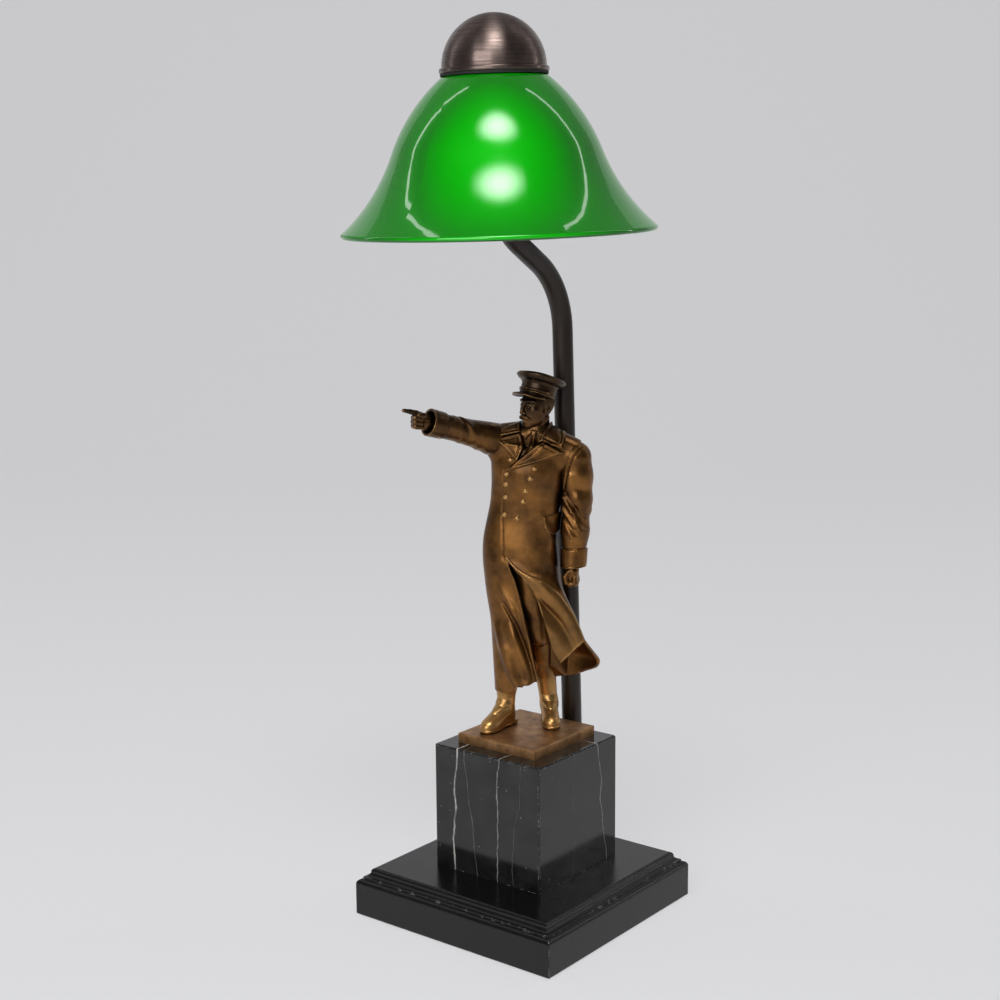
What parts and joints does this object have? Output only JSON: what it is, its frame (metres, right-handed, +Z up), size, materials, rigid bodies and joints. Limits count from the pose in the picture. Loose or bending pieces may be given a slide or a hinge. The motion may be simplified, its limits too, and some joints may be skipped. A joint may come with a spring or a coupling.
{
  "type": "table lamp",
  "caption": "Table lamp with a bronze pointing figure in a greatcoat on a marble block, a bent stem, a green glass bell shade and a dome cap.",
  "frame": {"origin": "centre of the plinth's underside, on the felt", "axes": "+Z up along the lamp's height; -Y is the front, towards which the stem bends and the shade overhangs; +X to the right seen from the front"},
  "size_m": [0.1842, 0.1887, 0.5449],
  "materials": {
    "felt": "wool felt",
    "stone_base": "honed and waxed black stone",
    "marble": "polished black marble with white veins",
    "black_plastic": "moulded phenolic",
    "zinc_steel": "zinc plated",
    "bronze": "cast bronze, brown patina with worn edges",
    "stem_black": "satin dark brown",
    "brass": "turned",
    "bulb_metal": "rolled thread",
    "bulb_opal": "opal",
    "lead_sheath": "sheathed lead",
    "rubber": "moulded",
    "green_glass": "cased green over opal",
    "copper_cap": "spun and brushed antique copper"
  },
  "bodies": {
    "root": {"base_felt": "felt", "base_plinth": "stone_base", "cord_bush": "black_plastic", "marble_block": "marble", "tie_rod": "zinc_steel", "tie_washer": "zinc_steel", "tie_nut": "zinc_steel", "figure_plate": "bronze", "boot_screws": "zinc_steel", "figure_boots": "bronze", "figure_coat": "bronze", "figure_head": "bronze", "peaked_cap": "bronze", "figure_arm_right": "bronze", "figure_arm_left": "bronze", "stem_tube": "stem_black", "stem_nipple_lower": "zinc_steel", "stem_washer": "zinc_steel", "stem_locknut": "zinc_steel", "stem_nipple_upper": "zinc_steel", "cluster_body": "brass", "holder_arm": "brass", "lampholder_cover": "black_plastic", "lampholder_body": "black_plastic", "lampholder_contact": "brass", "bulb_cap": "bulb_metal", "bulb_glass": "bulb_opal", "inner_lead": "lead_sheath", "carrier_locknut": "zinc_steel", "shade_carrier": "zinc_steel", "gasket_lower": "rubber"},
    "shade": {"glass_shade": "green_glass", "gasket_upper": "rubber"},
    "cap": {"dome_cap": "copper_cap", "cap_boss": "brass"}
  },
  "joints": [
    {"name": "shade_turn", "type": "hinge", "parent": "root", "child": "shade", "pos_m": [0, -0.02338, 0.50734], "axis": [0, -0.0384, 0.9993], "continuous": true},
    {"name": "cap_turn", "type": "hinge", "parent": "root", "child": "cap", "pos_m": [0, -0.02415, 0.52733], "axis": [0, -0.0384, 0.9993], "continuous": true}
  ]
}
